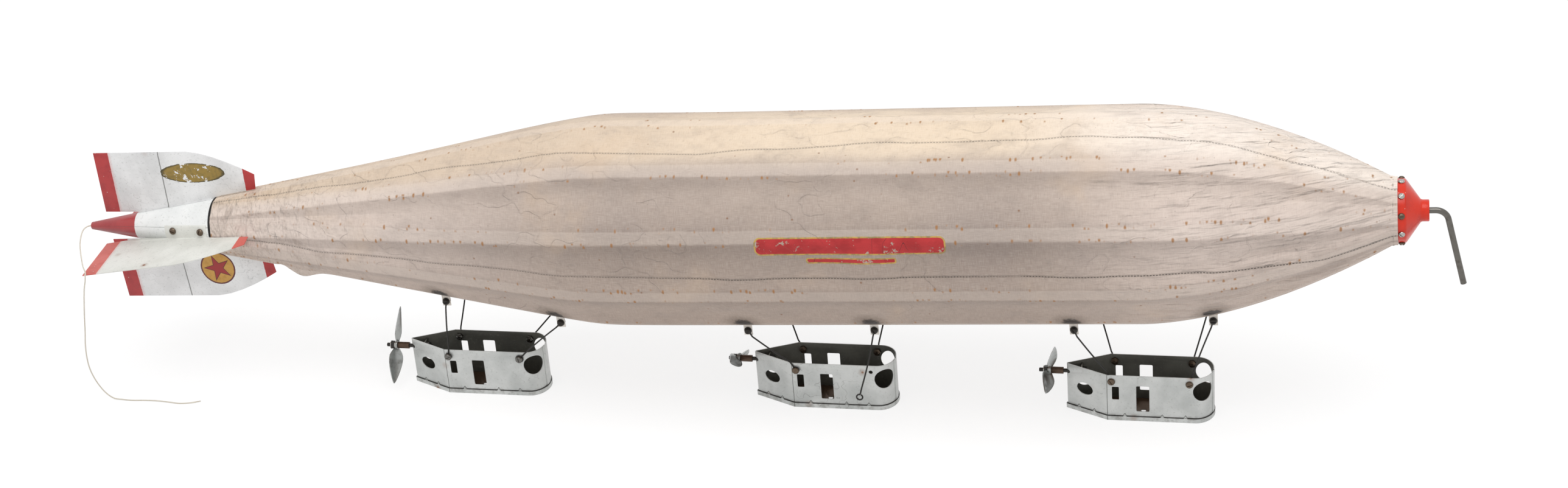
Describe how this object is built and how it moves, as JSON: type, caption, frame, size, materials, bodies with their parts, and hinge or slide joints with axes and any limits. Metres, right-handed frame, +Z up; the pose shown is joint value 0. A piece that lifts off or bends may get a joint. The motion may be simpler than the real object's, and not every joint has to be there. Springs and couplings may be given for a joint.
{
  "type": "toy airship",
  "caption": "Cloth-covered strip-steel toy airship with a red nose cap, bent mooring rod, tail cone with fins and hung open gondolas with propellers.",
  "frame": {"origin": "centre of the bounding box in plan, at the floor under the gondolas", "axes": "+X towards the nose, +Z up, +Y to the side away from the pictured one"},
  "size_m": [1.4159, 0.2072, 0.3295],
  "materials": {
    "cover_cloth": "pinkish beige cotton cloth, smudged and rust-spotted along its sewn stringer strips",
    "frame_steel": "plain rolled strip steel, slightly rusted",
    "rivet_steel": "soft iron rivets, lightly rusted",
    "red_enamel": "bright glossy red enamel with fine scratches",
    "cap_screw_steel": "round steel screw heads with worn red paint",
    "dark_steel": "blackened sheet steel",
    "cone_silver": "bright silver paint, red at the tip, lightly crazed",
    "fin_enamel": "pale silver-white paint with flaked red edge bands",
    "dark_screw_steel": "oiled dark steel with rust in the threads",
    "white_cord": "white braided cotton cord",
    "rod_steel": "bare drawn steel rod",
    "collar_brass": "turned brass collar",
    "bracket_tin": "tinned steel, whitened by old paint",
    "gondola_silver": "dull silver paint on tinplate, scratched",
    "gondola_screw_nickel": "nickelled round heads, dulled",
    "link_wire": "dark drawn wire",
    "propeller_tin": "stamped grey sheet metal"
  },
  "bodies": {
    "hull": {"envelope_cover": "cover_cloth", "stringers": "frame_steel", "ring_frame_1": "frame_steel", "ring_frame_2": "frame_steel", "ring_frame_3": "frame_steel", "ring_frame_4": "frame_steel", "ring_frame_5": "frame_steel", "ring_frame_6": "frame_steel", "ring_frame_7": "frame_steel", "ring_frame_8": "frame_steel", "nose_ring": "frame_steel", "frame_rivets": "rivet_steel", "nose_cap": "red_enamel", "nose_cap_screws": "cap_screw_steel", "tail_collar": "dark_steel", "tail_cone": "cone_silver", "fin_top": "fin_enamel", "fin_bottom": "fin_enamel", "fin_left": "fin_enamel", "fin_right": "fin_enamel", "fin_screws": "dark_screw_steel", "tail_cord": "white_cord", "link_brackets_1": "bracket_tin", "bracket_screws_1": "dark_screw_steel", "link_brackets_2": "bracket_tin", "bracket_screws_2": "dark_screw_steel", "link_brackets_3": "bracket_tin", "bracket_screws_3": "dark_screw_steel"},
    "mooring_rod": {"mooring_rod": "rod_steel", "rod_collar": "collar_brass"},
    "rear_links_1": {"rear_links_1": "link_wire"},
    "gondola_1": {"gondola_wall_1": "gondola_silver", "gondola_floor_1": "gondola_silver", "shaft_bearing_1": "dark_steel", "gondola_screws_1": "gondola_screw_nickel"},
    "front_links_1": {"front_links_1": "link_wire"},
    "propeller_1": {"propeller_1": "propeller_tin", "propeller_shaft_1": "dark_screw_steel", "shaft_nuts_1": "dark_screw_steel"},
    "rear_links_2": {"rear_links_2": "link_wire"},
    "gondola_2": {"gondola_wall_2": "gondola_silver", "gondola_floor_2": "gondola_silver", "shaft_bearing_2": "dark_steel", "gondola_screws_2": "gondola_screw_nickel"},
    "front_links_2": {"front_links_2": "link_wire"},
    "propeller_2": {"propeller_2": "propeller_tin", "propeller_shaft_2": "dark_screw_steel", "shaft_nuts_2": "dark_screw_steel"},
    "rear_links_3": {"rear_links_3": "link_wire"},
    "gondola_3": {"gondola_wall_3": "gondola_silver", "gondola_floor_3": "gondola_silver", "shaft_bearing_3": "dark_steel", "gondola_screws_3": "gondola_screw_nickel"},
    "front_links_3": {"front_links_3": "link_wire"},
    "propeller_3": {"propeller_3": "propeller_tin", "propeller_shaft_3": "dark_screw_steel", "shaft_nuts_3": "dark_screw_steel"},
    "loose_link": {"loose_link": "link_wire"}
  },
  "joints": [
    {"name": "mooring_rod_swivel", "type": "hinge", "parent": "hull", "child": "mooring_rod", "pos_m": [0.65479, 0, 0.2344], "axis": [0.999, 0, 0.0436], "continuous": true},
    {"name": "rear_links_swing_1", "type": "hinge", "parent": "hull", "child": "rear_links_1", "pos_m": [-0.30918, 0, 0.12079], "axis": [0, 1, 0], "range_deg": [-5, 5]},
    {"name": "gondola_sway_1", "type": "hinge", "parent": "rear_links_1", "child": "gondola_1", "pos_m": [-0.32257, 0, 0.0442], "axis": [0, 1, 0], "range_deg": [-9, 9]},
    {"name": "front_links_swing_1", "type": "hinge", "parent": "hull", "child": "front_links_1", "pos_m": [-0.18551, 0, 0.10811], "axis": [0, 1, 0], "range_deg": [-6.2, 6.2]},
    {"name": "propeller_spin_1", "type": "hinge", "parent": "gondola_1", "child": "propeller_1", "pos_m": [-0.38557, 0, 0.0425], "axis": [1, 0, 0], "continuous": true},
    {"name": "rear_links_swing_2", "type": "hinge", "parent": "hull", "child": "rear_links_2", "pos_m": [0.0096, 0, 0.10988], "axis": [0, 1, 0], "range_deg": [-5, 5]},
    {"name": "gondola_sway_2", "type": "hinge", "parent": "rear_links_2", "child": "gondola_2", "pos_m": [0.04643, 0, 0.0442], "axis": [0, 1, 0], "range_deg": [-9, 9]},
    {"name": "front_links_swing_2", "type": "hinge", "parent": "hull", "child": "front_links_2", "pos_m": [0.13748, 0, 0.11538], "axis": [0, 1, 0], "range_deg": [-6.2, 6.2]},
    {"name": "propeller_spin_2", "type": "hinge", "parent": "gondola_2", "child": "propeller_2", "pos_m": [-0.01657, 0, 0.0425], "axis": [1, 0, 0], "continuous": true},
    {"name": "rear_links_swing_3", "type": "hinge", "parent": "hull", "child": "rear_links_3", "pos_m": [0.3343, 0, 0.12385], "axis": [0, 1, 0], "range_deg": [-5, 5]},
    {"name": "gondola_sway_3", "type": "hinge", "parent": "rear_links_3", "child": "gondola_3", "pos_m": [0.36543, 0, 0.0442], "axis": [0, 1, 0], "range_deg": [-9, 9]},
    {"name": "front_links_swing_3", "type": "hinge", "parent": "hull", "child": "front_links_3", "pos_m": [0.46787, 0, 0.13656], "axis": [0, 1, 0], "range_deg": [-6.2, 6.2]},
    {"name": "propeller_spin_3", "type": "hinge", "parent": "gondola_3", "child": "propeller_3", "pos_m": [0.30243, 0, 0.0425], "axis": [1, 0, 0], "continuous": true},
    {"name": "loose_link_swing", "type": "hinge", "parent": "hull", "child": "loose_link", "pos_m": [0.13748, 0, 0.11538], "axis": [0, 1, 0], "range_deg": [-60, 60]}
  ],
  "couplings": [
    {"joint": "gondola_sway_1", "follows": "rear_links_swing_1", "ratio": -1.762},
    {"joint": "front_links_swing_1", "follows": "rear_links_swing_1", "ratio": 1.198},
    {"joint": "gondola_sway_2", "follows": "rear_links_swing_2", "ratio": -1.649},
    {"joint": "front_links_swing_2", "follows": "rear_links_swing_2", "ratio": 0.923},
    {"joint": "gondola_sway_3", "follows": "rear_links_swing_3", "ratio": -1.692},
    {"joint": "front_links_swing_3", "follows": "rear_links_swing_3", "ratio": 0.863}
  ]
}
